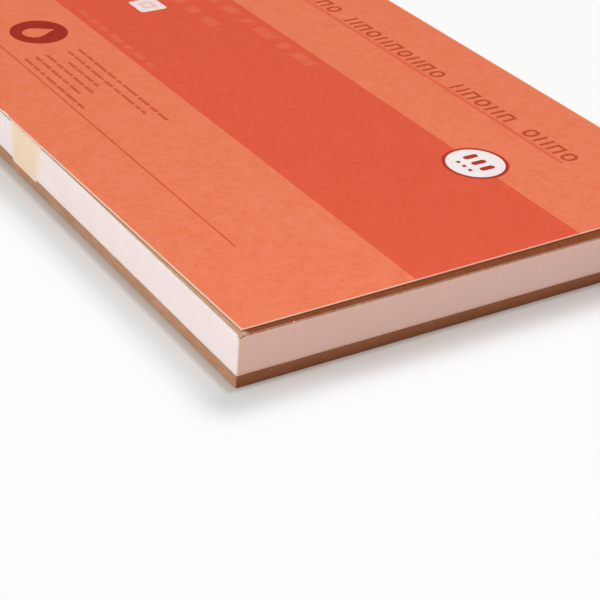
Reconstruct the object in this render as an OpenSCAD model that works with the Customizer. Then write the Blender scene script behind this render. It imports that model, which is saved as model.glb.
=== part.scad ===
// Watercolour paper pad: a block of heavy sheets, glued all round, on a backing board,
// under a protective kraft sheet and a printed card cover that opens like a book's.
// Millimetres. +X runs along the print's reading direction, +Y up the print, +Z up.
// The origin is under the middle of the pad, on the surface that it lies on.

/* [Sheets] */
// Length of a sheet, along the print
sheet_l = 180; // [120:1:300]
// Width of a sheet, up the print
sheet_w = 123.2; // [100:0.1:200]
// Thickness of one sheet of cotton paper
sheet_t = 0.435; // [0.25:0.005:0.8]
// Number of sheets in the block
sheet_count = 20; // [12:1:40]

/* [Backing board] */
// Thickness of the backing board
board_t = 2.7; // [1.5:0.1:5]

/* [Kraft sheet] */
// Thickness of the kraft sheet that keeps the top sheet clean
kraft_t = 0.3; // [0.15:0.05:0.6]

/* [Padding glue] */
// Thickness of the glue coat on the sheets' edges
glue_t = 0.4; // [0.25:0.05:0.8]
// Radius of the coat's brushed rims
glue_rim_r = 0.2; // [0.05:0.05:0.2]

/* [Release gap] */
// Distance of the gap's middle from the pad's middle, along the print
gap_x = -3.7; // [-20:0.1:20]
// Width of the gap at the kraft sheet
gap_top_w = 15.7; // [8:0.1:30]
// Width of the gap at the backing board
gap_foot_w = 12.5; // [6:0.1:28]
// How far the gap's foot lies to the left of its top
gap_lean = 0.6; // [0:0.1:2]
// How far the masking strip stands out from the glue coat
strip_proud = 0.05; // [0.03:0.01:0.3]
// How far the masking strip laps down over the backing board
strip_lap = 0.5; // [0.2:0.05:1.2]

/* [Cover] */
// How much shorter than the sheets the cover is, along the print
cover_short = 3; // [0:0.1:10]
// How much wider than the sheets the cover is, up the print
cover_over = 0.7; // [-4:0.1:1]
// Thickness of the cover card
cover_t = 0.3; // [0.25:0.05:0.8]
// How far the cover is turned on the block, in degrees
cover_skew = 0.83; // [0:0.01:1.5]
// Shift of the cover's middle along the print
cover_x = -0.5; // [-2:0.1:2]
// Shift of the cover's middle up the print
cover_y = 0.2; // [-2:0.1:2]
// Width of the glue line that holds the cover along its rear edge
tip_w = 3; // [1.5:0.1:8]
// Thickness of that glue line
tip_t = 0.1; // [0.05:0.01:0.4]

/* [Band] */
// Thickness of every printed field
ink_t = 0.03; // [0.02:0.01:0.08]
// Distance from the cover's front edge to the band
band_y = 41.2; // [30:0.1:60]
// Width of the band
band_w = 43.2; // [20:0.1:50]

/* [Badge] */
// Distance of the badge's centre from the cover's right edge
badge_in = 36.3; // [20:0.1:60]
// Outer diameter of the badge's ring
badge_d = 15.4; // [10:0.2:20]
// Width of the ring
badge_ring_w = 0.85; // [0.4:0.05:1.5]
// Width of each of the badge's three upright pills
pill_w = 1.6; // [1:0.1:2.4]
// Height of a pill
pill_h = 4; // [2.5:0.1:4.4]
// Distance from one pill to the next
pill_pitch = 3.1; // [2:0.1:3.4]
// Height of the pills' middles above the badge's middle
pill_up = 1; // [0:0.1:2]
// Side of each of the small squares under the pills
tick_w = 1; // [0.4:0.1:1.2]
// Distance from one small square to the next
tick_pitch = 2.2; // [1.5:0.1:3]
// Depth of the small squares' middles below the badge's middle
tick_down = 3.2; // [2.5:0.1:4]

/* [Title row] */
// Distance of the title row's underline from the band
title_gap = 18; // [10:0.1:30]
// Distance of the printed columns from the cover's right edge
title_in = 27.6; // [15:0.2:40]
// Length of the title row
title_l = 122; // [60:1:130]
// Clearance between the underline and the title row's signs
sign_gap = 0.6; // [0.2:0.1:2]
// Height of the title row's signs
sign_h = 4.4; // [2:0.1:7]
// Width of a sign
sign_w = 3.3; // [1.5:0.1:5]
// Width of the lines that a sign is drawn with
stroke_w = 0.8; // [0.4:0.05:1.2]
// Distance from one sign to the next
sign_pitch = 4.6; // [3:0.1:7]
// Thickness of the title row's underline
underline_t = 1.1; // [0.2:0.05:1.5]
// Thickness of the thin rule under the small print
rule_t = 0.35; // [0.2:0.05:0.8]

/* [Small print] */
// Distance of the thin rule from the cover's front edge
rule_y = 15.3; // [8:0.1:25]
// Length of the thin rule
rule_l = 124; // [60:1:135]
// Distance from the emblem's left edge to the small print's left edge
column_x = 21; // [18:0.5:40]
// Distance from the thin rule up to the first line of small print
column_up = 16.4; // [14:0.1:20]
// How far the third line of small print is set in
line_indent = 6; // [0:0.5:15]
// Height of a line of small print
line_h = 0.8; // [0.5:0.1:2]
// Distance from one line of small print to the next
line_pitch = 2.9; // [2:0.05:5]

/* [Emblem and panel] */
// Diameter of the round emblem
emblem_d = 14.6; // [8:0.1:20]
// Distance from the thin rule to the emblem's middle
emblem_up = 12.6; // [9:0.1:20]
// Diameter of the belly of the drop in the emblem
drop_d = 5.8; // [3:0.1:7]
// Depth of the belly's middle below the emblem's middle
drop_down = 1.4; // [0:0.1:3]
// Side of the pale panel in the band
panel_w = 7.8; // [5:0.1:14]
// Corner radius of the pale panel
panel_r = 1; // [0.3:0.1:2]
// Side of the square frame in the pale panel
mark_w = 3.9; // [2:0.1:5]
// Side of the opening in that frame
mark_hole_w = 2; // [1:0.1:3]
// Distance from the emblem's middle back to the panel's middle, along the print
panel_back = 4.7; // [0:0.1:10]
// Distance of the panel's middle below the band's middle
panel_down = 1; // [-5:0.1:5]
// How far the thin rule starts ahead of the emblem
emblem_in = 1; // [0:0.1:5]

/* [Pale print] */
// Height of the tall rows of pale bars
pale_h = 3.5; // [2:0.1:5]
// Height of the low row of pale bars
pale_low_h = 1.7; // [0.8:0.1:3]
// Distance from the band's front edge to the rear row of pale bars
pale_rear_y = 37.4; // [20:0.1:40]
// Distance from the band's front edge to the second row of pale bars
pale_second_y = 28.3; // [15:0.1:36]
// Distance from the band's front edge to the low row of pale bars
pale_low_y = 1.8; // [0.5:0.1:5]

/* [Hidden] */
$fn = 64;

// Overshoot that makes a cut go cleanly through
through = 1;

// Outline of the whole pad and the heights of its layers
pad_l = sheet_l + 2 * glue_t;
pad_w = sheet_w + 2 * glue_t;
pages_t = sheet_t * sheet_count;
kraft_z = board_t + pages_t;
block_top = kraft_z + kraft_t;
cover_l = sheet_l - cover_short;
cover_w = sheet_w + cover_over;
coat_h = pages_t + kraft_t;
cover_z = block_top + tip_t;
cover_top = cover_z + cover_t;

// Where the print's columns and rows lie, from the cover's middle
cover_right = cover_l / 2;
cover_front = -cover_w / 2;
band_front = cover_front + band_y;
band_rear = band_front + band_w;
badge_x = cover_right - badge_in;
title_right = cover_right - title_in;
underline_y = band_rear + title_gap;
rule_line_y = cover_front + rule_y;
emblem_x = title_right - rule_l + emblem_d / 2 + emblem_in;
emblem_y = rule_line_y + emblem_up;
column_left = emblem_x - emblem_d / 2 + column_x;
panel_x = emblem_x - panel_back;
panel_y = (band_front + band_rear) / 2 - panel_down;

// Each line of small print: its indent and the lengths of its bars
small_lines = [
    [0, [4, 3, 6, 4, 2, 7, 5, 3, 4]],
    [0, [3, 5, 2, 6, 4, 3, 6, 2, 2]],
    [line_indent, [4, 3, 4, 2]],
    [0, [5, 3, 4, 5, 4]],
    [0, [3, 4, 5, 3, 5]],
    [0, [4, 3, 2, 5, 4, 5, 3]]];

// Each line of pale print in the band: its height above the band's front edge,
// the height of its bars, and their lengths
pale_lines = [
    [pale_rear_y, pale_h, [9, 6, 3, 8, 3, 8]],
    [pale_second_y, pale_h, [6, 4, 6]],
    [pale_low_y, pale_low_h, [5, 3, 4, 6, 3, 5, 3]]];

// Groups of signs in the title row, right to left, with one sign's room between groups
sign_groups = [4, 5, 9, 6];
sign_kinds = 3;

// Sum of the first n numbers of a list
function sum_of(list, n) = n <= 0 ? 0 : list[n - 1] + sum_of(list, n - 1);

// A rectangle about the origin with round corners
module round_rect(l, w, r) {
    square([l - 2 * r, w], center = true);
    square([l, w - 2 * r], center = true);
    for (x = [-1, 1], y = [-1, 1])
        translate([x * (l / 2 - r), y * (w / 2 - r)]) circle(r);
}

// The glue coat's section: flat on the sheets' edges, round along both rims
module coat_section() {
    square([glue_t - glue_rim_r, coat_h]);
    translate([0, glue_rim_r]) square([glue_t, coat_h - 2 * glue_rim_r]);
    for (z = [glue_rim_r, coat_h - glue_rim_r])
        translate([glue_t - glue_rim_r, z]) circle(glue_rim_r);
}

// The half of the section that lies outside the sheets' edges
module coat_profile() {
    intersection() {
        coat_section();
        square([glue_t, coat_h]);
    }
}

// A straight run of the coat, outside the edge that it starts from
module coat_run(run) {
    rotate([90, 0, 0])
        translate([0, 0, -run / 2]) linear_extrude(run) coat_profile();
}

// The gap in the coat, as seen from the front: wider at the top and leaning a little
module gap_outline(foot, top) {
    polygon([
        [gap_x - gap_lean - gap_foot_w / 2, foot],
        [gap_x - gap_lean + gap_foot_w / 2, foot],
        [gap_x + gap_top_w / 2, top],
        [gap_x - gap_top_w / 2, top]]);
}

// Lifts and turns print and card from the cover's own frame onto the pad
module on_cover(z) {
    translate([cover_x, cover_y, z]) rotate(cover_skew) children();
}

// Lays a printed field on the cover
module ink() {
    on_cover(cover_top) linear_extrude(ink_t) children();
}

// A row of bars, as print too small to read
module bar_row(lengths, h) {
    for (i = [0:len(lengths) - 1])
        translate([sum_of(lengths, i) + i * h, 0]) square([lengths[i], h]);
}

// An upright pill
module pill(w, h) {
    square([w, h - w], center = true);
    for (y = [-1, 1]) translate([0, y * (h - w) / 2]) circle(d = w);
}

// A sign of the title row: a ring, a frame or a pair of stems, which spell nothing
module sign_outline(kind) {
    if (kind == 0) difference() {
        pill(sign_w, sign_h);
        pill(sign_w - 2 * stroke_w, sign_h - 2 * stroke_w);
    }
    if (kind == 1) difference() {
        square([sign_w, sign_h], center = true);
        translate([0, -stroke_w / 2]) square([sign_w - 2 * stroke_w, sign_h - stroke_w], center = true);
    }
    if (kind == 2) for (x = [-1, 1])
        translate([x * (sign_w - stroke_w) / 2, 0]) square([stroke_w, sign_h], center = true);
}

// A falling drop: a round belly with a pointed top
module drop(d) {
    side = d / 2 * cos(30);
    circle(d / 2);
    polygon([[-side, d / 2 * sin(30)], [side, d / 2 * sin(30)], [0, d]]);
}

module badge_outline() {
    translate([badge_x, band_rear]) circle(d = badge_d);
}

module panel_outline() {
    translate([panel_x, panel_y]) round_rect(panel_w, panel_w, panel_r);
}

// The bars of pale print, in the band's left part
module pale_outline() {
    for (row = pale_lines)
        translate([panel_x - panel_w / 2, band_front + row[0]]) bar_row(row[2], row[1]);
}

// The three pills over three small squares in the middle of the badge
module badge_marks() {
    translate([badge_x, band_rear])
        for (i = [-1:1]) {
            translate([i * pill_pitch, pill_up]) pill(pill_w, pill_h);
            translate([i * tick_pitch, -tick_down]) square(tick_w, center = true);
        }
}

// The greyboard that stiffens the pad
module backing_board() {
    color([0.62, 0.43, 0.31])
        linear_extrude(board_t) round_rect(pad_l, pad_w, glue_t);
}

// The sheets, as one block
module page_block() {
    color([0.95, 0.93, 0.88])
        translate([0, 0, board_t]) linear_extrude(pages_t) square([sheet_l, sheet_w], center = true);
}

// The flexible glue that ties the sheets' edges, left open at the release gap
module padding_glue() {
    color([0.95, 0.91, 0.90]) difference() {
        translate([0, 0, board_t]) {
            for (side = [0, 180]) {
                rotate(side) translate([sheet_l / 2, 0, 0]) coat_run(sheet_w);
                rotate(side + 90) translate([sheet_w / 2, 0, 0]) coat_run(sheet_l);
            }
            for (x = [-1, 1], y = [-1, 1])
                translate([x * sheet_l / 2, y * sheet_w / 2, 0])
                    rotate(x > 0 ? (y > 0 ? 0 : -90) : (y > 0 ? 90 : 180))
                        rotate_extrude(angle = 90) coat_profile();
        }
        translate([0, -sheet_w / 2, 0])
            rotate([90, 0, 0]) linear_extrude(glue_t + through) gap_outline(board_t, block_top);
    }
}

// The strip that kept the glue off the sheets' edges, filling the gap and lapping over the board
module release_strip() {
    color([0.93, 0.85, 0.73]) {
        translate([0, -sheet_w / 2, 0])
            rotate([90, 0, 0]) linear_extrude(glue_t + strip_proud) gap_outline(board_t, block_top);
        translate([gap_x - gap_lean, -pad_w / 2 - strip_proud / 2, board_t - strip_lap / 2])
            cube([gap_foot_w, strip_proud, strip_lap], center = true);
    }
}

// The sheet that keeps the top sheet clean
module kraft_sheet() {
    color([0.72, 0.53, 0.38])
        translate([0, 0, kraft_z]) linear_extrude(kraft_t) square([sheet_l, sheet_w], center = true);
}

// The glue line under the cover's rear edge
module tipping_glue() {
    color([0.90, 0.88, 0.82])
        on_cover(block_top)
            translate([-cover_l / 2, cover_w / 2 - tip_w, 0]) cube([cover_l, tip_w, tip_t]);
}

// The card cover, white inside and at its cut edges
module cover_card() {
    color([0.94, 0.51, 0.37])
        on_cover(cover_z) linear_extrude(cover_t) square([cover_l, cover_w], center = true);
}

// The wide red band, knocked out under what is printed in it
module band_print() {
    color([0.87, 0.35, 0.25]) ink() difference() {
        translate([-cover_l / 2, band_front]) square([cover_l, band_w]);
        badge_outline();
        panel_outline();
        pale_outline();
    }
}

// The badge's white ground
module badge_disc() {
    color([0.96, 0.93, 0.93]) ink() difference() {
        translate([badge_x, band_rear]) circle(d = badge_d - 2 * badge_ring_w);
        badge_marks();
    }
}

// The badge's ring and marks
module badge_print() {
    color([0.70, 0.25, 0.22]) ink() {
        difference() {
            badge_outline();
            translate([badge_x, band_rear]) circle(d = badge_d - 2 * badge_ring_w);
        }
        badge_marks();
    }
}

// The row of signs
module title_print() {
    color([0.72, 0.30, 0.20]) ink()
        for (g = [0:len(sign_groups) - 1], i = [0:sign_groups[g] - 1]) {
            place = sum_of(sign_groups, g) + i;
            translate([title_right - sign_w / 2 - (place + g) * sign_pitch,
                    underline_y + underline_t + sign_gap + sign_h / 2])
                sign_outline(place % sign_kinds);
        }
}

// The round emblem with a drop left open in it
module emblem_print() {
    color([0.66, 0.22, 0.17]) ink() {
        translate([emblem_x, emblem_y]) difference() {
            circle(d = emblem_d);
            translate([0, -drop_down]) drop(drop_d);
        }
    }
}

// The lines of small print and the thin rule under them
module small_print() {
    color([0.80, 0.34, 0.24]) ink() {
        translate([title_right - rule_l, rule_line_y]) square([rule_l, rule_t]);
        for (i = [0:len(small_lines) - 1])
            translate([column_left + small_lines[i][0], rule_line_y + column_up - i * line_pitch])
                bar_row(small_lines[i][1], line_h);
    }
}

// The pale panel in the band
module pale_panel() {
    color([0.96, 0.90, 0.88]) ink() difference() {
        panel_outline();
        translate([panel_x, panel_y]) panel_mark();
    }
}

// A plain square frame in the middle of the panel
module panel_mark() {
    difference() {
        square(mark_w, center = true);
        square(mark_hole_w, center = true);
    }
}

module panel_print() {
    color([0.93, 0.75, 0.72]) ink() translate([panel_x, panel_y]) panel_mark();
}

// The rows of pale bars in the band and the title row's underline, in the same weak ink
module pale_print() {
    color([0.89, 0.42, 0.32]) ink() {
        difference() {
            pale_outline();
            panel_outline();
        }
        translate([title_right - title_l, underline_y]) square([title_l, underline_t]);
    }
}

backing_board();
page_block();
padding_glue();
release_strip();
kraft_sheet();
tipping_glue();
cover_card();
band_print();
badge_disc();
badge_print();
title_print();
emblem_print();
small_print();
pale_panel();
panel_print();
pale_print();
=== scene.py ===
# %% [markdown]
# A watercolour paper pad.
# The pad is a block of heavy sheets that white glue holds together all round. It lies on a
# brown backing board, under a kraft sheet and a printed card cover.
# The solids come from the CAD frame, in metres, where they belong. This lesson dresses them:
# paper, card and glue are told apart mostly by small variations of colour, so most cells
# are about materials. The glue coat, the strip in its gap and the board with its rough cut
# edges get meshes of their own.

# %% Load the frame
import math

import bpy
from mathutils import Matrix, Vector, noise


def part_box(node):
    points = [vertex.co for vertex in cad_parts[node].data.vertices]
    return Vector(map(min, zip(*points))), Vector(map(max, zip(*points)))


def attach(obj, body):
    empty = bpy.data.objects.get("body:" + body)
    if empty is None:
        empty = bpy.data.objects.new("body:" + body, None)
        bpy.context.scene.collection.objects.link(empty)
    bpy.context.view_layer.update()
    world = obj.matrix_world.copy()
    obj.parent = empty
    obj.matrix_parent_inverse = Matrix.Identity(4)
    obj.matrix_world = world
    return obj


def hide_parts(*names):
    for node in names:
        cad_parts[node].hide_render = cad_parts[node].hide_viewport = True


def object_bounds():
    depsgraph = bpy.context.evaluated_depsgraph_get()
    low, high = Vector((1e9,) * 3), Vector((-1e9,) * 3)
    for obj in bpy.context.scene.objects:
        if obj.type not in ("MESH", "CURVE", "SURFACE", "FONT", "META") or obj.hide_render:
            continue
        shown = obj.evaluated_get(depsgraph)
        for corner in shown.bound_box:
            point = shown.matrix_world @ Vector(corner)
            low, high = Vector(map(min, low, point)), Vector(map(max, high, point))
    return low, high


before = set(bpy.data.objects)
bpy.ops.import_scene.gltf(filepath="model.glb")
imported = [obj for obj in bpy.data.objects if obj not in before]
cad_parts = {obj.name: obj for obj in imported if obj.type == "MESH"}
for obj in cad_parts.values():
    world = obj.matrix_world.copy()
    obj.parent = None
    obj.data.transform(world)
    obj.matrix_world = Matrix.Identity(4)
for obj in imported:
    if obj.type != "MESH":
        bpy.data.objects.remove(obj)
cad_low, cad_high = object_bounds()
MM = 0.001
print("overall size in mm", [round((h - l) / MM, 2) for l, h in zip(cad_low, cad_high)])

# %% [markdown]
# The camera stands where the photographer stood. A photo of straight edges and a round badge
# is enough to work that out: parallel edges meet in vanishing points, and those give the
# direction, the tilt and the focal length. The numbers below are that solution, measured
# from the middle of the pad.

# %% Set up the camera
CAMERA_AT = Vector((330.14, -215.05, 192.23)) * MM
CAMERA_LOOKS = Vector((-0.7038, 0.4882, -0.5161))
CAMERA_ROLL = math.radians(4.67)
FOCAL_PIXELS = 1791.8
FRAME_PIXELS = 600

camera_data = bpy.data.cameras.new("camera")
camera_data.sensor_width = 36.0
camera_data.lens = FOCAL_PIXELS / FRAME_PIXELS * camera_data.sensor_width
camera_data.clip_start = 0.01
camera = bpy.data.objects.new("camera", camera_data)
bpy.context.collection.objects.link(camera)

forward = CAMERA_LOOKS.normalized()
level_right = forward.cross(Vector((0, 0, 1))).normalized()
level_down = forward.cross(level_right)
right = level_right * math.cos(CAMERA_ROLL) - level_down * math.sin(CAMERA_ROLL)
up = -(level_right * math.sin(CAMERA_ROLL) + level_down * math.cos(CAMERA_ROLL))
turned = Matrix((right, up, -forward)).transposed().to_4x4()
camera.matrix_world = Matrix.Translation(CAMERA_AT) @ turned
bpy.context.scene.camera = camera
bpy.context.scene.view_settings.view_transform = "Standard"
print("lens in mm", round(camera_data.lens, 1))

# %% [markdown]
# A procedural material is a graph of nodes. Written node by node, even a small formula is
# hard to read, so this class wraps one socket and lets it be added, multiplied and so on.
# Each sign adds one Math node, and the formula stays visible in the code.

# %% A socket that can be calculated with
class Wire:
    """One output in a material's graph, which formulas can use like a number."""

    def __init__(self, finish, socket):
        self.finish = finish
        self.socket = socket

    def maths(self, operation, *values):
        sockets = dict(enumerate(values))
        return self.finish.node("ShaderNodeMath", {"operation": operation}, sockets)

    def __add__(self, other):
        return self.maths("ADD", self, other)

    def __radd__(self, other):
        return self.maths("ADD", other, self)

    def __sub__(self, other):
        return self.maths("SUBTRACT", self, other)

    def __rsub__(self, other):
        return self.maths("SUBTRACT", other, self)

    def __mul__(self, other):
        return self.maths("MULTIPLY", self, other)

    def __rmul__(self, other):
        return self.maths("MULTIPLY", other, self)

    def __truediv__(self, other):
        return self.maths("DIVIDE", self, other)

    def __neg__(self):
        return self.maths("MULTIPLY", self, -1.0)

    def size(self):
        return self.maths("ABSOLUTE", self)

    def slant(self, other):
        """The distance from nought of a point that lies this far along and other across."""
        return self.maths("SQRT", self * self + other * other)

    def at_most(self, other):
        return self.maths("MINIMUM", self, other)

    def at_least(self, other):
        return self.maths("MAXIMUM", self, other)


# %% [markdown]
# The second class holds a whole finish. Its node method adds any node: first the settings,
# because some of them change which sockets there are, and then the values or links.
# On top of it are the few measures that every paper here needs.

# %% A finish under construction
class Finish:
    """A material made of nodes, around one Principled shader."""

    def __init__(self, name, roughness, specular=0.5):
        self.material = bpy.data.materials.new(name)
        self.material.use_nodes = True
        self.tree = self.material.node_tree
        self.tree.nodes.clear()
        self.shader = self.tree.nodes.new("ShaderNodeBsdfPrincipled")
        self.shader.inputs["Roughness"].default_value = roughness
        self.shader.inputs["Specular IOR Level"].default_value = specular
        output = self.tree.nodes.new("ShaderNodeOutputMaterial")
        self.tree.links.new(self.shader.outputs[0], output.inputs["Surface"])

    def put(self, socket, value):
        if isinstance(value, Wire):
            self.tree.links.new(value.socket, socket)
        else:
            socket.default_value = value

    def node(self, kind, settings=None, sockets=None, output=0):
        new = self.tree.nodes.new(kind)
        for name, value in (settings or {}).items():
            setattr(new, name, value)
        for name, value in (sockets or {}).items():
            self.put(new.inputs[name], value)
        return Wire(self, new.outputs[output])

    def point(self):
        return self.node("ShaderNodeTexCoord", output=3)

    def facing(self):
        normal = self.node("ShaderNodeTexCoord", output=1)
        return self.parts(normal)

    def parts(self, vector):
        first = self.node("ShaderNodeSeparateXYZ", sockets={0: vector})
        outputs = first.socket.node.outputs
        return [Wire(self, outputs[axis]) for axis in range(3)]

    def stretched(self, vector, scale):
        return self.node("ShaderNodeMapping", {}, {"Vector": vector, "Scale": scale})

    def cloud(self, vector, grain, detail=2.0, rough=0.5, swirl=0.0):
        """Noise from 0 to 1 whose blotches are about grain metres across."""
        return self.node("ShaderNodeTexNoise", {}, {
            "Vector": vector, "Scale": 1.0 / grain, "Detail": detail,
            "Roughness": rough, "Distortion": swirl})

    def ramp(self, value, low, high):
        """0 below low, 1 above high and smooth between."""
        return self.node("ShaderNodeMapRange", {"interpolation_type": "SMOOTHSTEP"}, {
            "Value": value, "From Min": low, "From Max": high})

    def mix(self, amount, first, second):
        """The first colour where amount is 0 and the second where it is 1."""
        return self.node("ShaderNodeMix", {"data_type": "RGBA"}, {
            0: amount, 6: first, 7: second}, 2)

    def bump(self, height, depth):
        """Turns a height from 0 to 1 into a relief that is depth metres deep."""
        relief = self.node("ShaderNodeBump", {}, {
            "Height": height, "Distance": depth, "Strength": 1.0})
        self.put(self.shader.inputs["Normal"], relief)

    def colour(self, value):
        self.put(self.shader.inputs["Base Color"], value)


def srgb(red, green, blue):
    """A colour as a picture editor shows it, turned into the linear values of a shader."""
    def linear(part):
        part = part / 255
        if part <= 0.04045:
            return part / 12.92
        return ((part + 0.055) / 1.055) ** 2.4
    return (linear(red), linear(green), linear(blue), 1.0)


def dress(node, finish):
    """Gives a CAD node's object the finished material, in all its slots."""
    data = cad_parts[node].data
    data.materials.clear()
    data.materials.append(finish.material)


print("helpers ready")

# %% [markdown]
# The cover is card with felt marks: soft blotches a few millimetres wide, finer mottling, and
# thin curled fibres that took a little more ink. All of them go into one value, the mottle.
# Some patches are also a little pinker than the rest, which is the blush. Every print on the
# card uses the same mottle at the same places, because the ink lies in the same fibres.

# %% The card's mottle
def contour_lines(finish, cloud, width):
    """1 on thin winding lines, where a cloud crosses its middle value."""
    return 1.0 - finish.ramp((cloud - 0.5).size(), 0.0, width)


def card_mottle(finish):
    """The mottle, its fine part alone, and the blush, each from 0 to 1."""
    point = finish.point()
    blotches = finish.cloud(point, 5.5 * MM, detail=1.0, swirl=0.8)
    mottling = finish.cloud(point, 1.2 * MM, detail=2.0, swirl=0.6)
    fibres = contour_lines(finish, finish.cloud(point, 3.2 * MM, detail=0.0, swirl=3.0), 0.035)
    curls = contour_lines(finish, finish.cloud(point, 1.9 * MM, detail=0.0, swirl=3.5), 0.04)
    tone = blotches * 0.25 + mottling * 0.4 - fibres * 0.13 - curls * 0.07 + 0.21
    blush = finish.ramp(finish.cloud(point, 3.4 * MM, detail=1.0, swirl=1.8), 0.4, 0.6)
    return finish.ramp(tone, 0.28, 0.78), mottling, blush


# %% [markdown]
# The ink is rubbed off along the cover's edges, where hands and shelves touch it. The cover
# lies turned by a small angle on the block, so the distance to its edges has to be taken in
# the cover's own directions, which the sizes of its box and that angle give. RUBBED_OFF is
# the share of ink that is gone there. BLUSH_BLUE is how much bluer a pink patch is, of 255.

# %% Find the cover's edges and print on the card
COVER_SKEW = math.radians(0.83)
SIDE_RUBBED = 0.24 * MM
END_RUBBED = 0.28 * MM
RUBBED_OFF = 0.65
BLUSH_BLUE = 9
BARE_DEEP = srgb(240, 208, 184)
BARE_LIGHT = srgb(252, 232, 212)
card_low, card_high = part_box("cover_card")
card_middle = (card_low + card_high) / 2
box_l = card_high.x - card_low.x
box_w = card_high.y - card_low.y
skew_cos = math.cos(COVER_SKEW)
skew_sin = math.sin(COVER_SKEW)
cover_l = (box_l * skew_cos - box_w * skew_sin) / math.cos(2 * COVER_SKEW)
cover_w = (box_w * skew_cos - box_l * skew_sin) / math.cos(2 * COVER_SKEW)
print("cover in mm", round(cover_l / MM, 2), "by", round(cover_w / MM, 2))


def inside_cover(finish):
    """How far a point lies inside the cover's short ends and inside its long edges."""
    x, y, _ = finish.parts(finish.point())
    x = x - card_middle.x
    y = y - card_middle.y
    along = x * skew_cos + y * skew_sin
    across = y * skew_cos - x * skew_sin
    return 0.5 * cover_l - along.size(), 0.5 * cover_w - across.size()


def rubbed_edge(finish, grain):
    """1 within a hair of the cover's edges and 0 elsewhere. The short ends are rubbed more."""
    from_end, from_side = inside_cover(finish)
    inside = (from_end / END_RUBBED).at_most(from_side / SIDE_RUBBED)
    inside = inside + (grain - 0.5) * 0.8
    return 1.0 - finish.ramp(inside, 0.6, 1.4)


def printed_card(name, deep, light, blushing=0.15, roughness=0.75):
    """Ink on the felt-marked card, between a deep and a light tone of its colour."""
    finish = Finish(name, roughness, specular=0.0)
    mottle, mottling, blush = card_mottle(finish)
    ink = finish.mix(mottle, srgb(*deep), srgb(*light))
    red, green, blue = light
    ink = finish.mix(blush * blushing, ink, srgb(red, green, blue + BLUSH_BLUE))
    bare = finish.mix(mottling, BARE_DEEP, BARE_LIGHT)
    tint = finish.mix(rubbed_edge(finish, mottling) * RUBBED_OFF, ink, bare)
    finish.colour(tint)
    finish.bump(mottling, 0.008 * MM)
    return finish, tint


# %% [markdown]
# The orange lies only on the card's upper face. Its cut edges and its underside are the bare
# pale card, which shows as a fine line round the cover. The lower half of the cut edge is
# painted darker as shade under the card, brown on the long sides and a deeper brown on the
# right short side, which is in shade. In one worn spot of the long edge the ink has flaked
# off, and one dark speck lies in the card.

# %% Dress the cover card
WORN_AT = Vector((-14.9, -61.85, 12.1)) * MM
WORN_LENGTH = 2.1 * MM
WORN_WIDTH = 0.42 * MM
SPECK_AT = Vector((63.76, -56.3, 12.1)) * MM
SPECK_RADIUS = 0.22 * MM
EDGE_SHADE_FULL = 0.1 * MM
EDGE_SHADE_END = 0.19 * MM
SIDE_EDGE_SHADE = srgb(218, 168, 136)
FRONT_EDGE_SHADE = srgb(160, 86, 52)
UNDER_DEEP = srgb(238, 228, 212)
UNDER_LIGHT = srgb(248, 240, 228)

card, orange = printed_card("orange_card", (230, 117, 81), (240, 132, 96), blushing=0.45)
bare_cloud = card.cloud(card.point(), 0.8 * MM, detail=2.0)
bare = card.mix(bare_cloud, BARE_DEEP, BARE_LIGHT)
upward = card.facing()[2]
under = 1.0 - card.ramp(upward, -0.6, -0.4)
bare = card.mix(under, bare, card.mix(bare_cloud, UNDER_DEEP, UNDER_LIGHT))
on_top = card.ramp(upward, 0.4, 0.6)
card_x, card_y, card_z = card.parts(card.point())
card_front = card.ramp(card.facing()[0], 0.4, 0.7)
edge_shade = card.mix(card_front, SIDE_EDGE_SHADE, FRONT_EDGE_SHADE)
# Painted shade: the lower half of the cut edge, darkest on the side that faces front.
shaded_low_half = 1.0 - card.ramp(card_z, card_low.z + EDGE_SHADE_FULL, card_low.z + EDGE_SHADE_END)
bare = card.mix(shaded_low_half * (1.0 - under) * 0.9, bare, edge_shade)
from_speck = (card_x - SPECK_AT.x).slant(card_y - SPECK_AT.y)
speck = 1.0 - card.ramp(from_speck, 0.3 * SPECK_RADIUS, SPECK_RADIUS)
orange = card.mix(speck * 0.7, orange, srgb(150, 62, 44))
worn_along = (card_x - WORN_AT.x) / WORN_LENGTH
worn_across = (card_y - WORN_AT.y) / WORN_WIDTH
worn_reach = worn_along.slant(worn_across) + (bare_cloud - 0.5) * 0.6
worn = 1.0 - card.ramp(worn_reach, 0.75, 1.0)
card.colour(card.mix(on_top * (1.0 - worn), bare, orange))
dress("cover_card", card)
print("card is", round((card_high.z - card_low.z) / MM, 2), "mm thick")

# %% [markdown]
# Each printed field is its own thin solid, so each takes one finish. The red band is strong
# and even. The small print and the title row are thin, weak ink, and the pale bars are the
# band's red with a little white in it.

# %% Dress the print
PRINTS = {
    "band_print": ((221, 88, 62), (230, 99, 73)),
    "title_print": ((186, 72, 46), (202, 88, 60)),
    "small_print": ((203, 84, 56), (215, 98, 68)),
    "emblem_print": ((160, 46, 34), (174, 58, 44)),
    "badge_print": ((174, 52, 42), (192, 68, 54)),
    "badge_disc": ((238, 228, 228), (248, 243, 241)),
    "pale_panel": ((238, 216, 210), (248, 234, 228)),
    "panel_print": ((236, 192, 182), (242, 204, 194)),
    "pale_print": ((224, 100, 73), (233, 112, 85)),
}
for print_name, (deep, light) in PRINTS.items():
    ink, _ = printed_card(print_name + "_ink", deep, light)
    dress(print_name, ink)
print("printed fields", len(PRINTS))
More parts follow.
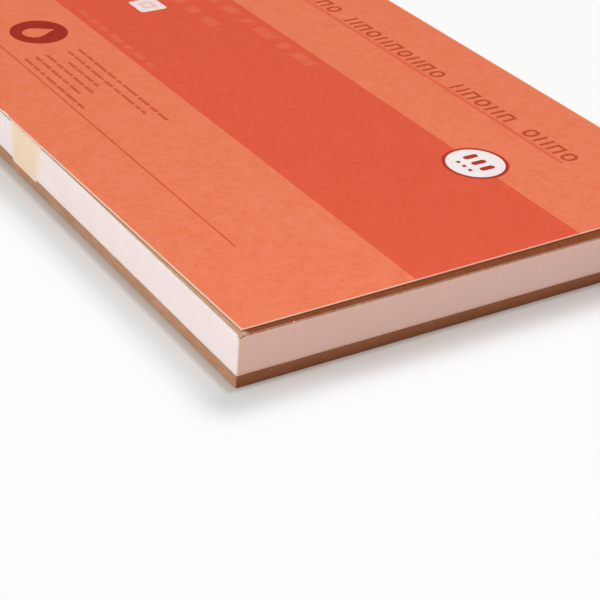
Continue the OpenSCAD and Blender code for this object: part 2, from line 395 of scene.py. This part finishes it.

# %% [markdown]
# Kraft paper is brown from fibres of many browns. Two clouds, one of them stretched along the
# sheet, give the fibres. Along the right short side a dark margin in front of the cover is
# painted shade. Right beside the cover's edges the sheet is painted a little paler, which is
# painted light over the narrow shadow that the cover's edges cast.

# %% Dress the kraft sheet
kraft_low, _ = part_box("kraft_sheet")
kraft = Finish("kraft_paper", roughness=0.8, specular=0.05)
along_sheet = kraft.stretched(kraft.point(), (0.35, 1.0, 1.0))
kraft_fibres = kraft.cloud(along_sheet, 0.32 * MM, detail=5.0, rough=0.65)
kraft_blotch = kraft.cloud(kraft.point(), 4.0 * MM, detail=3.0, rough=0.6)
kraft_tone = kraft.ramp(kraft_fibres * 0.75 + kraft_blotch * 0.25, 0.28, 0.72)
kraft_bare = kraft.mix(kraft_tone, srgb(184, 140, 110), srgb(208, 166, 136))
# Painted shade: the dark brown of the margin in front of the cover.
kraft_painted_shade = kraft.mix(kraft_tone, srgb(120, 59, 31), srgb(148, 80, 46))
kraft_x, kraft_y, _ = kraft.parts(kraft.point())
ragged_y = kraft_y + (kraft_blotch - 0.5) * 1.5 * MM
from_end, from_side = inside_cover(kraft)
# Painted light: paler kraft within half a millimetre of the cover's short end, over its shadow.
painted_shadow_fill = 1.0 - kraft.ramp(-from_end, 0.1 * MM, 0.45 * MM)
kraft_painted_shade = kraft.mix(painted_shadow_fill, kraft_painted_shade, srgb(168, 98, 62))
# The painted shade lies along the right short side, with a ragged border.
painted_shade_margin = 1.0 - kraft.ramp(from_end + (kraft_blotch - 0.5) * 1.2 * MM, 0.3 * MM, 1.2 * MM)
painted_shade_margin = painted_shade_margin * kraft.ramp(ragged_y, kraft_low.y + 1.2 * MM, kraft_low.y + 2.6 * MM)
painted_shade_margin = painted_shade_margin * kraft.ramp(kraft_x, 0.0, 1.0 * MM)
# Painted light: a paler line just beside the cover's long edges, over their shadow.
beside_cover = 1.0 - kraft.ramp(-from_side, 0.05 * MM, 0.4 * MM)
under_cover = kraft.ramp(from_side, 0.1 * MM, 0.4 * MM)
painted_light_line = beside_cover * (1.0 - under_cover)
kraft_bare = kraft.mix(painted_light_line * 0.7, kraft_bare, srgb(226, 178, 144))
kraft.colour(kraft.mix(painted_shade_margin, kraft_bare, kraft_painted_shade))
kraft.bump(kraft_fibres, 0.02 * MM)
dress("kraft_sheet", kraft)
print("kraft sheet dressed")

# %% [markdown]
# The backing board is pressed from the same kind of brown fibres. On a cut edge they lie in
# layers, so the board's sides are streaked along their length. The short side in front is
# painted darker as shade, and darker still towards its foot.

# %% Mix the board's finish
board = Finish("brown_board", roughness=0.8, specular=0.08)
board_point = board.point()
layers = board.cloud(board.stretched(board_point, (0.12, 0.12, 1.6)), 0.35 * MM, detail=4.0)
flecks = board.cloud(board_point, 0.45 * MM, detail=3.0, rough=0.7)
stains = board.cloud(board_point, 7.0 * MM, detail=2.0)
board_side = 1.0 - board.ramp(board.facing()[2].size(), 0.4, 0.7)
board_grain = board.node("ShaderNodeMix", {"data_type": "FLOAT"}, {
    0: board_side, 2: flecks, 3: layers})
board_tone = board.ramp(board_grain * 0.7 + stains * 0.3, 0.28, 0.72)
board_brown = board.mix(board_tone, srgb(172, 124, 92), srgb(200, 152, 118))
board_z = board.parts(board_point)[2]
# Painted shade: the short side in front is darker, deeper towards its foot.
board_front_shade = board.ramp(board.facing()[0], 0.4, 0.7)
foot = 1.0 - board.ramp(board_z + (flecks - 0.5) * 1.4 * MM, 0.0, 2.4 * MM)
board.colour(board.mix(board_front_shade * (0.38 + foot * 0.24), board_brown, srgb(90, 42, 8)))
board.bump(board_grain, 0.05 * MM)
print("board's finish mixed")

# %% [markdown]
# The sheets themselves are hardly seen. Where they do show, their edges are fine lines, one
# for each sheet, so the block gets a stripe pattern with the sheets' own pitch.

# %% Dress the page block and the glue line
pages_low, pages_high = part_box("page_block")
SHEETS = 20
sheet_pitch = (pages_high.z - pages_low.z) / SHEETS

pages = Finish("cotton_paper", roughness=0.8, specular=0.3)
page_height = pages.parts(pages.point())[2]
turns = (page_height - pages_low.z) / sheet_pitch
saw = pages.node("ShaderNodeMath", {"operation": "PINGPONG"}, {0: turns, 1: 0.5})
page_side = 1.0 - pages.ramp(pages.facing()[2].size(), 0.4, 0.7)
seam = (1.0 - pages.ramp(saw, 0.02, 0.12)) * page_side
page_grain = pages.cloud(pages.point(), 1.2 * MM, detail=3.0)
page_tone = (page_grain * 0.5 + 0.25) * (1.0 - seam)
pages.colour(pages.mix(page_tone, srgb(206, 194, 172), srgb(248, 244, 234)))
pages.bump(page_grain - seam, 0.03 * MM)
dress("page_block", pages)

bead = Finish("clear_glue", roughness=0.35)
bead_tone = bead.cloud(bead.point(), 1.0 * MM)
bead.colour(bead.mix(bead_tone, srgb(226, 220, 206), srgb(238, 232, 220)))
dress("tipping_glue", bead)
print("sheets", SHEETS, "pitch in mm", round(sheet_pitch / MM, 3))

# %% [markdown]
# The padding glue is brushed on in coats, so its surface swells and sinks a little and its
# rims are not quite straight. A flat ring can't show that. The coat is made here as a
# section swept along the sheets' edges, with smooth noise on its thickness and on its rims.
# The noise is taken at the point in space, so the coat has no seam where the sweep ends. The
# waves and ripples say how fine it is: about so many of them go into a metre.

# %% Follow the sheets' edges
glue_low, glue_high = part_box("padding_glue")
GLUE_T = pages_low.x - glue_low.x
GLUE_SKIN = 0.02 * MM
GLUE_RIM = 0.16 * MM
GLUE_SWELL = 0.05 * MM
GLUE_RAGGED = 0.07 * MM
BRUSH_WAVES = 140
BRUSH_RIPPLES = 420
RIM_WAVES = 350
STATION = 0.6 * MM
CORNER_STEPS = 6
GAP_TOP = (-11.55 * MM, 4.15 * MM)
GAP_FOOT = (-10.55 * MM, 1.95 * MM)
GAP_BLEND = 6.0 * MM


def up_the_coat(height):
    """0 at the foot of the coat and 1 at its top, for a number or a wire."""
    return (height - glue_low.z) / (glue_high.z - glue_low.z)


def gap_side(share, end):
    """Where the gap's left (0) or right (1) side is at a share of the coat's height."""
    return share * (GAP_TOP[end] - GAP_FOOT[end]) + GAP_FOOT[end]


def edge_stations():
    """Points along the sheets' edges and their outward directions, from gap end to gap end."""
    x, y = pages_high.x, pages_high.y
    corners = [(x, -y, -90), (x, y, 0), (-x, y, 90), (-x, -y, 180)]
    start = Vector((GAP_FOOT[1], -y))
    stations = []
    for corner_x, corner_y, angle in corners:
        corner = Vector((corner_x, corner_y))
        out = Vector((math.cos(math.radians(angle)), math.sin(math.radians(angle))))
        count = max(2, round((corner - start).length / STATION))
        for i in range(count):
            stations.append((start.lerp(corner, i / count), out))
        for i in range(CORNER_STEPS):
            turn = math.radians(angle + 90 * i / CORNER_STEPS)
            stations.append((corner.copy(), Vector((math.cos(turn), math.sin(turn)))))
        start = corner
    end = Vector((GAP_FOOT[0], -y))
    count = round((end - start).length / STATION)
    for i in range(count + 1):
        stations.append((start.lerp(end, i / count), Vector((0, -1))))
    return stations


print("stations along the sheets' edges", len(edge_stations()))

# %% [markdown]
# Seen in section, the coat has a straight side between two rounded rims, and it starts a hair
# outside the sheets, so that the two skins don't lie in one plane. Beside the release gap its
# points move along the edge, which makes the gap's sides slant. Noise then pushes each point
# in a little, as a brush leaves it, and fades out towards the gap.

# %% Shape the coat's section
def coat_section():
    """The section as (outward, height) pairs, counted round from the foot of the inner side."""
    low, high = glue_low.z, glue_high.z
    section = [(GLUE_SKIN, low)]
    for i in range(4):
        turn = math.radians(-90 + 30 * i)
        section.append((GLUE_T - GLUE_RIM + GLUE_RIM * math.cos(turn),
                        low + GLUE_RIM + GLUE_RIM * math.sin(turn)))
    rows = 10
    for i in range(1, rows):
        section.append((GLUE_T, low + GLUE_RIM + (high - low - 2 * GLUE_RIM) * i / rows))
    for i in range(4):
        turn = math.radians(30 * i)
        section.append((GLUE_T - GLUE_RIM + GLUE_RIM * math.cos(turn),
                        high - GLUE_RIM + GLUE_RIM * math.sin(turn)))
    section.append((GLUE_SKIN, high))
    return section


def gap_shift(place, height):
    """How far a point moves along the front edge so that the gap's sides slant."""
    share = up_the_coat(height)
    for end in (0, 1):
        away = abs(place.x - GAP_FOOT[end])
        if place.y < 0 and away < GAP_BLEND:
            fade = 1 - away / GAP_BLEND
            return (GAP_TOP[end] - GAP_FOOT[end]) * share * fade
    return 0.0


def coat_point(place, out, outward, height):
    """One point of the coat, with the brush's swelling and the ragged rims."""
    flat = place + out * outward
    shift = gap_shift(place, height) if abs(out.y + 1) < 1e-6 else 0.0
    point = Vector((flat.x + shift, flat.y, height))
    if outward <= GLUE_SKIN * 1.01:
        return point
    near_rim = min(height - glue_low.z, glue_high.z - height) < GLUE_RIM * 1.01
    swell = noise.noise(point * BRUSH_WAVES) + 0.5 * noise.noise(point * BRUSH_RIPPLES)
    by_gap = min(abs(place.x - end) for end in GAP_FOOT) if place.y < 0 else GAP_BLEND
    fade = min(1.0, by_gap / GAP_BLEND) if out.y < -0.99 else 1.0
    depth = -GLUE_SWELL * (0.75 + 0.5 * swell) * fade
    point.x += out.x * depth
    point.y += out.y * depth
    if near_rim and height > glue_low.z + GLUE_RIM * 2:
        ragged = 0.5 + 0.5 * noise.noise(Vector((point.x, point.y, 0.0)) * RIM_WAVES)
        point.z -= GLUE_RAGGED * ragged
    return point


print("points in the coat's section", len(coat_section()))

# %% [markdown]
# A ring is the section's points at one station. Two rings in a row are joined by four-cornered
# faces, and that makes a skin. Where neighbouring faces nearly agree, they are shaded as one
# smooth surface, so that a round rim needs few points and a cut edge still looks sharp.

# %% Join rings into a skin
def mesh_piece(name, vertices, faces, finish, smooth_angle=30):
    """Makes a mesh object from its points and faces, smooth where its faces nearly agree."""
    data = bpy.data.meshes.new(name)
    data.from_pydata(vertices, [], faces)
    data.update()
    data.shade_smooth()
    data.set_sharp_from_angle(angle=math.radians(smooth_angle))
    data.materials.append(finish.material)
    piece = bpy.data.objects.new(name, data)
    bpy.context.collection.objects.link(piece)
    return piece


def swept(name, rings, finish):
    """Joins rings of as many points each into a skin and caps its two ends."""
    size = len(rings[0])
    vertices = [point for ring in rings for point in ring]
    faces = []
    for r in range(len(rings) - 1):
        here = r * size
        there = here + size
        for i in range(size):
            j = (i + 1) % size
            faces.append((here + i, there + i, there + j, here + j))
    faces.append(tuple(range(size)))
    faces.append(tuple(reversed(range(len(vertices) - size, len(vertices)))))
    return mesh_piece(name, vertices, faces, finish)


print("skin helpers ready")

# %% [markdown]
# White glue is a soft plastic: smoother than paper, with a dull shine. A large and a fine
# cloud keep its white from being quite even. On the short side in front a warm painted shade
# is mixed in, strongest near the corner, and the glue is yellower where it is thick at the
# upright corner.

# %% Mix the glue's finish
glue = Finish("padding_glue_white", roughness=0.45, specular=0.3)
glue_point = glue.point()
glue_cloud = glue.cloud(glue_point, 9.0 * MM, detail=2.0)
glue_fine = glue.cloud(glue.stretched(glue_point, (1.0, 1.0, 0.5)), 1.1 * MM, detail=3.0)
glue_tone = glue.ramp(glue_cloud * 0.6 + glue_fine * 0.4, 0.3, 0.7)
glue_white = glue.mix(glue_tone, srgb(243, 233, 229), srgb(247, 238, 235))
glue_x, glue_y, glue_z = glue.parts(glue_point)
on_front = glue.ramp(glue_x, glue_high.x - 0.5 * MM, glue_high.x - 0.3 * MM)
front_rim = glue.ramp(glue_x, glue_high.x - 0.9 * MM, glue_high.x - 0.5 * MM)
from_corner = glue_y - glue_low.y + (glue_cloud - 0.5) * 0.8 * MM
corner_yellow = on_front * (1.0 - glue.ramp(from_corner, 0.4 * MM, 2.0 * MM))
# Painted shade: a warm tone on the short side in front, fading away from the near corner.
far_along = glue.ramp(glue_y, -45.0 * MM, 15.0 * MM)
glue_paint = glue.mix(on_front * (0.6 - far_along * 0.5), glue_white, srgb(242, 226, 218))
glue_paint = glue.mix(corner_yellow * 0.7, glue_paint, srgb(245, 229, 206))
glue.bump(glue_fine * 0.3 + glue_cloud, 0.015 * MM)
print("glue coat is", round(GLUE_T / MM, 2), "mm thick")

# %% [markdown]
# The coat's rims have taken up brown from the kraft sheet above and from the board below, and
# the sides of the release gap some cream from the strip. On the front rim the brown turns
# darker at the very top, which is painted shade like the kraft sheet's margin. Left of the
# gap a wider greyish band under the top is a painted shadow of the cover's edge. Each stain
# and painted shade is a soft mask from a distance, and fine noise makes its border uneven.

# %% Stain the glue's rims
glue_share = up_the_coat(glue_z)
gap_left = gap_side(glue_share, 0)
gap_right = gap_side(glue_share, 1)
on_long_side = 1.0 - glue.ramp(glue_y, -60.0 * MM, 0.0)
beside_gap = (gap_left - glue_x).at_least(glue_x - gap_right) + (glue_fine - 0.5) * 0.6 * MM
gap_tint = (1.0 - glue.ramp(beside_gap, 0.0, 1.2 * MM)) * on_long_side
glue_paint = glue.mix(gap_tint * 0.5, glue_paint, srgb(245, 230, 216))
from_top = glue_high.z - glue_z + (glue_fine - 0.5) * 0.16 * MM
side_stain = (1.0 - glue.ramp(from_top, 0.0, 0.12 * MM)) * 0.5
front_stain_and_shade = 1.0 - glue.ramp(from_top, 0.08 * MM, 0.4 * MM)
rim_stain_and_shade = side_stain + (front_stain_and_shade - side_stain) * front_rim
# Painted shadow: a greyish band left of the gap, under the cover's edge.
left_of_gap = (1.0 - glue.ramp(glue_x - gap_left, -1.0 * MM, 0.0)) * on_long_side
painted_shadow_left = left_of_gap * (1.0 - glue.ramp(from_top, 0.1 * MM, 0.34 * MM)) * 0.6
off_corner = glue.ramp(from_corner, 1.2 * MM, 2.6 * MM)
on_rim = 1.0 - glue.ramp(from_top, 0.0, 0.16 * MM)
# Painted shade: the darker brown on the front rim, away from the corner.
stain_and_shade_brown = glue.mix(front_rim * off_corner * on_rim, srgb(200, 158, 124), srgb(142, 82, 52))
glue_paint = glue.mix(rim_stain_and_shade, glue_paint, stain_and_shade_brown)
glue_paint = glue.mix(painted_shadow_left, glue_paint, srgb(150, 128, 104))
from_foot = glue_z - glue_low.z + (glue_fine - 0.5) * 0.3 * MM
foot_stain = 1.0 - glue.ramp(from_foot, 0.0, 0.5 * MM)
glue_paint = glue.mix(foot_stain * 0.5, glue_paint, srgb(186, 142, 114))
print("gap's foot in mm", [round(side / MM, 2) for side in GAP_FOOT])

# %% [markdown]
# Two small marks of wear come last. A short dark crack at the top of the near corner is where
# the film has split, and a pale fleck sits on the front rim. The crack is a line in the front
# face: the mask is 1 close to the line and between its two ends.

# %% Mark the glue and lay the coat
CRACK_FOOT = Vector((90.4, -61.76, 11.15)) * MM
CRACK_TOP = Vector((90.4, -60.6, 11.72)) * MM
CRACK_WIDTH = 0.09 * MM
FLECK_AT = Vector((90.25, -49.55, 11.66)) * MM
FLECK_RADIUS = 0.25 * MM

from_fleck = (glue_y - FLECK_AT.y).slant(glue_z - FLECK_AT.z)
fleck = on_front * (1.0 - glue.ramp(from_fleck, 0.4 * FLECK_RADIUS, FLECK_RADIUS))
glue_paint = glue.mix(fleck * 0.8, glue_paint, srgb(236, 206, 190))
crack_slope = (CRACK_TOP.z - CRACK_FOOT.z) / (CRACK_TOP.y - CRACK_FOOT.y)
crack_line = (glue_z - CRACK_FOOT.z) - (glue_y - CRACK_FOOT.y) * crack_slope
crack_off = crack_line.size() + (glue_fine - 0.5) * 0.1 * MM
along_crack = ((glue_y - CRACK_FOOT.y) / (CRACK_TOP.y - CRACK_FOOT.y) - 0.5).size()
crack = 1.0 - glue.ramp(crack_off, 0.4 * CRACK_WIDTH, 1.2 * CRACK_WIDTH)
crack = crack * (1.0 - glue.ramp(along_crack, 0.45, 0.6)) * on_front
glue.colour(glue.mix(crack * 0.9, glue_paint, srgb(96, 56, 34)))

coat_rings = []
for place, out in edge_stations():
    coat_rings.append([coat_point(place, out, u, h) for u, h in coat_section()])
coat = swept("glue_coat", coat_rings, glue)
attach(coat, "pad")
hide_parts("padding_glue")
print("glue coat has", len(coat.data.polygons), "faces")

# %% [markdown]
# In the release gap lies a strip of cream masking tape. It kept the glue off the sheets, laps
# a little over the board below and is folded over the kraft sheet above, under the cover.
# The glue ran a little way over its sides, so they look soft. A swept skin gives the fold,
# and the sides are painted.

# %% Lay the strip in the release gap
STRIP_FOLD = 0.75 * MM
STRIP_FOLD_T = 0.09 * MM
STRIP_CURVE = 0.5 * MM
STRIP_CREAM = (srgb(241, 216, 184), srgb(244, 221, 192))
STRIP_STATIONS = 12

strip_low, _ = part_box("release_strip")
strip = Finish("masking_strip", roughness=0.6, specular=0.35)
strip_grain = strip.cloud(strip.stretched(strip.point(), (1.0, 1.0, 0.3)), 1.4 * MM, detail=3.0)
strip_edge = strip.cloud(strip.point(), 0.9 * MM, detail=2.0)
cream = strip.mix(strip.ramp(strip_grain, 0.3, 0.7), *STRIP_CREAM)
strip_x, _, strip_z = strip.parts(strip.point())
strip_share = up_the_coat(strip_z)
left_side = gap_side(strip_share, 0)
right_side = gap_side(strip_share, 1)
right_side = right_side - strip_share * (1.0 - strip_share) * 4.0 * STRIP_CURVE
loose = (strip_edge - 0.5) * 0.4 * MM
over_left = 1.0 - strip.ramp(strip_x - left_side + loose, 0.0, 0.7 * MM)
over_right = strip.ramp(strip_x - right_side + loose, -0.6 * MM, 0.1 * MM)
on_sheets = strip.ramp(strip_z, glue_low.z - 0.1 * MM, glue_low.z + 0.1 * MM)
glued = over_left.at_least(over_right) * on_sheets
strip.colour(strip.mix(glued, cream, srgb(245, 231, 220)))
strip.bump(strip_grain, 0.006 * MM)

front = strip_low.y
board_edge_y = glue_low.y
strip_section = [
    (front, strip_low.z), (front, glue_low.z), (front, glue_high.z),
    (front + 0.3 * STRIP_FOLD_T, glue_high.z + 0.7 * STRIP_FOLD_T),
    (front + STRIP_FOLD_T, glue_high.z + STRIP_FOLD_T),
    (front + STRIP_FOLD, glue_high.z + STRIP_FOLD_T),
    (front + STRIP_FOLD, glue_high.z), (pages_low.y, glue_high.z), (pages_low.y, glue_low.z),
    (board_edge_y, glue_low.z), (board_edge_y, strip_low.z)]
strip_rings = []
for i in range(STRIP_STATIONS + 1):
    ring = []
    for y, z in strip_section:
        share = min(1.0, max(0.0, up_the_coat(z)))
        left_x = gap_side(share, 0)
        right_x = gap_side(share, 1)
        ring.append(Vector((left_x + (right_x - left_x) * i / STRIP_STATIONS, y, z)))
    strip_rings.append(ring)
strip_skin = swept("strip_skin", strip_rings, strip)
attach(strip_skin, "pad")
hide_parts("release_strip")
print("strip laps over the board by", round((glue_low.z - strip_low.z) / MM, 2), "mm")

# %% [markdown]
# The board is cut with a guillotine, which leaves a slightly torn, fibrous edge. Its sides
# get rows of points that noise pushes in by a few hundredths of a millimetre, never out, so
# the board keeps its size. One noise is long and flat, like the board's layers, and the other
# is as fine as single fibres.

# %% Draw the board's outline and section
board_low, board_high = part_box("backing_board")
BOARD_CORNER = 0.4 * MM
BOARD_EDGE = 0.12 * MM
BOARD_TORN = 0.06 * MM
LAYER_WAVES = Vector((225, 225, 1800))
FIBRE_WAVES = 1500
BOARD_ROWS = 9
BOARD_STEP = 0.7 * MM


def board_outline(step):
    """Points and outward directions round the board, with small round corners."""
    x = board_high.x - BOARD_CORNER
    y = board_high.y - BOARD_CORNER
    corners = [Vector((x, -y)), Vector((x, y)), Vector((-x, y)), Vector((-x, -y))]
    outline = []
    for i, corner in enumerate(corners):
        before = corners[i - 1]
        angle = math.radians(-90 + 90 * i)
        out = Vector((math.cos(angle), math.sin(angle)))
        count = round((corner - before).length / step)
        for k in range(count):
            outline.append((before.lerp(corner, k / count), out))
        for k in range(CORNER_STEPS):
            turn = angle + math.radians(90 * k / CORNER_STEPS)
            outline.append((corner.copy(), Vector((math.cos(turn), math.sin(turn)))))
    return outline


def board_section():
    """(outward, height) pairs from inside the underside, round the edge, to inside the top."""
    low, high = board_low.z, board_high.z
    section = [(-3 * MM, low), (-0.6 * MM, low), (BOARD_CORNER - BOARD_EDGE, low)]
    for i in range(BOARD_ROWS + 1):
        height = low + BOARD_EDGE + (high - low - 2 * BOARD_EDGE) * i / BOARD_ROWS
        section.append((BOARD_CORNER, height))
    section += [(BOARD_CORNER - BOARD_EDGE, high), (-0.6 * MM, high), (-3 * MM, high)]
    return section


print("points round the board", len(board_outline(BOARD_STEP)))

# %% [markdown]
# The board's rings are open: each runs from the underside round its edge to the top. One
# many-cornered face then closes the top and one the underside, both flat.

# %% Sweep the backing board
board_rings = []
for place, out in board_outline(BOARD_STEP):
    ring = []
    for outward, height in board_section():
        flat = place + out * outward
        point = Vector((flat.x, flat.y, height))
        if outward > 0:
            layered = noise.noise(point * LAYER_WAVES)
            torn = 0.5 + 0.5 * layered + 0.3 * noise.noise(point * FIBRE_WAVES)
            depth = -BOARD_TORN * max(0.0, torn)
            point.x += out.x * depth
            point.y += out.y * depth
        ring.append(point)
    board_rings.append(ring)

size = len(board_rings[0])
board_points = [point for ring in board_rings for point in ring]
board_faces = []
for r in range(len(board_rings)):
    here = r * size
    there = (r + 1) % len(board_rings) * size
    for i in range(size - 1):
        board_faces.append((here + i, there + i, there + i + 1, here + i + 1))
board_faces.append(tuple(r * size for r in reversed(range(len(board_rings)))))
board_faces.append(tuple(r * size + size - 1 for r in range(len(board_rings))))
slab = mesh_piece("board_slab", board_points, board_faces, board, smooth_angle=40)
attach(slab, "pad")
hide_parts("backing_board")
print("board has", len(slab.data.polygons), "faces")

# %% [markdown]
# The pad lies on a white table in a bright, even studio. A plain floor would need more light
# than the pad does to come out white, so camera rays see part of the floor as light of its
# own. The other part is real white paper, which keeps the soft shadow beside the pad, so the
# glow starts a little way off. Near the pad the paper is also painted a little darker as
# shade, and darker still in a thin line round the pad's foot, which is a painted contact
# shadow. All other rays see a warm floor, which is what lights the short side in front.

# %% Lay the floor
FLOOR_HALF = 3.0
FLOOR_GLOW = 0.8
SHADOW_CORE = 5.0 * MM
SHADOW_REACH = 16.0 * MM
PAINTED_SHADOW_REACH = 1.6 * MM
FLOOR_WHITE = 0.983
FLOOR_NEAR_SHADED = (0.93, 0.925, 0.915, 1.0)
FLOOR_FAR = (0.965, 0.965, 0.96, 1.0)
FLOOR_FELT = (0.86, 0.44, 0.33, 1.0)
FLOOR_PAINTED_SHADOW = (0.71, 0.66, 0.61, 1.0)

floor_mesh = bpy.data.meshes.new("floor")
signs = [(-1, -1), (1, -1), (1, 1), (-1, 1)]
floor_corners = [(x * FLOOR_HALF, y * FLOOR_HALF, 0) for x, y in signs]
floor_mesh.from_pydata(floor_corners, [], [(0, 1, 2, 3)])
floor = bpy.data.objects.new("floor", floor_mesh)
bpy.context.collection.objects.link(floor)

paper_floor = Finish("white_floor", roughness=0.9, specular=0.1)
seen = paper_floor.node("ShaderNodeLightPath", output=0)
glow = paper_floor.node("ShaderNodeEmission", {}, {
    "Color": (1.0, 1.0, 1.0, 1.0), "Strength": FLOOR_WHITE})
floor_x, floor_y, _ = paper_floor.parts(paper_floor.point())
outside_x = (floor_x.size() - cad_high.x).at_least(0.0)
outside_y = (floor_y.size() - cad_high.y).at_least(0.0)
away = outside_x.slant(outside_y)
open_floor = paper_floor.ramp(away, SHADOW_CORE, SHADOW_REACH)
# Painted shade: the paper near the pad is a little darker than further off.
floor_with_painted_shade = paper_floor.mix(open_floor, FLOOR_NEAR_SHADED, FLOOR_FAR)
# Painted contact shadow: a thin darker line round the pad's foot.
painted_contact_shadow = 1.0 - paper_floor.ramp(away, 0.0, PAINTED_SHADOW_REACH)
floor_with_painted_shade = paper_floor.mix(painted_contact_shadow, floor_with_painted_shade, FLOOR_PAINTED_SHADOW)
paper_floor.colour(paper_floor.mix(seen, FLOOR_FELT, floor_with_painted_shade))
glow_share = FLOOR_GLOW * open_floor
surface = Wire(paper_floor, paper_floor.shader.outputs[0])
both = paper_floor.node("ShaderNodeMixShader", {}, {0: seen * glow_share, 1: surface, 2: glow})
floor_out = next(n for n in paper_floor.tree.nodes if n.type == "OUTPUT_MATERIAL")
paper_floor.put(floor_out.inputs["Surface"], both)
floor_mesh.materials.append(paper_floor.material)
print("floor laid")

# %% [markdown]
# The light is soft and mostly from behind and from the left: the long side of the pad is
# bright, the short side in front lies in warm shade, and the cover's front edge throws a
# narrow shadow on the kraft sheet. A small weak box near the camera and a dim white world
# fill the rest.

# %% Light the studio
def softbox(name, direction, distance, size, power, colour):
    """A square lamp that looks at the pad from a direction."""
    lamp = bpy.data.lights.new(name, "AREA")
    lamp.shape = "SQUARE"
    lamp.size = size
    lamp.energy = power
    lamp.color = colour
    box = bpy.data.objects.new(name, lamp)
    bpy.context.collection.objects.link(box)
    towards = Vector(direction).normalized()
    turn = towards.to_track_quat("Z", "Y").to_matrix().to_4x4()
    box.matrix_world = Matrix.Translation(towards * distance) @ turn


softbox("back_box", (-0.45, 0.52, 0.72), 2.4, 1.2, 32.0, (1.0, 0.978, 0.955))
softbox("left_box", (-0.15, -0.985, 0.10), 1.6, 0.5, 17.5, (0.62, 0.885, 1.0))
softbox("near_box", (0.55, -0.25, 0.80), 0.35, 0.2, 0.27, (0.97, 1.0, 1.0))

world = bpy.data.worlds.new("studio")
world.use_nodes = True
sky = world.node_tree.nodes["Background"]
sky.inputs["Color"].default_value = (1.0, 0.98, 0.96, 1.0)
sky.inputs["Strength"].default_value = 0.38
bpy.context.scene.world = world
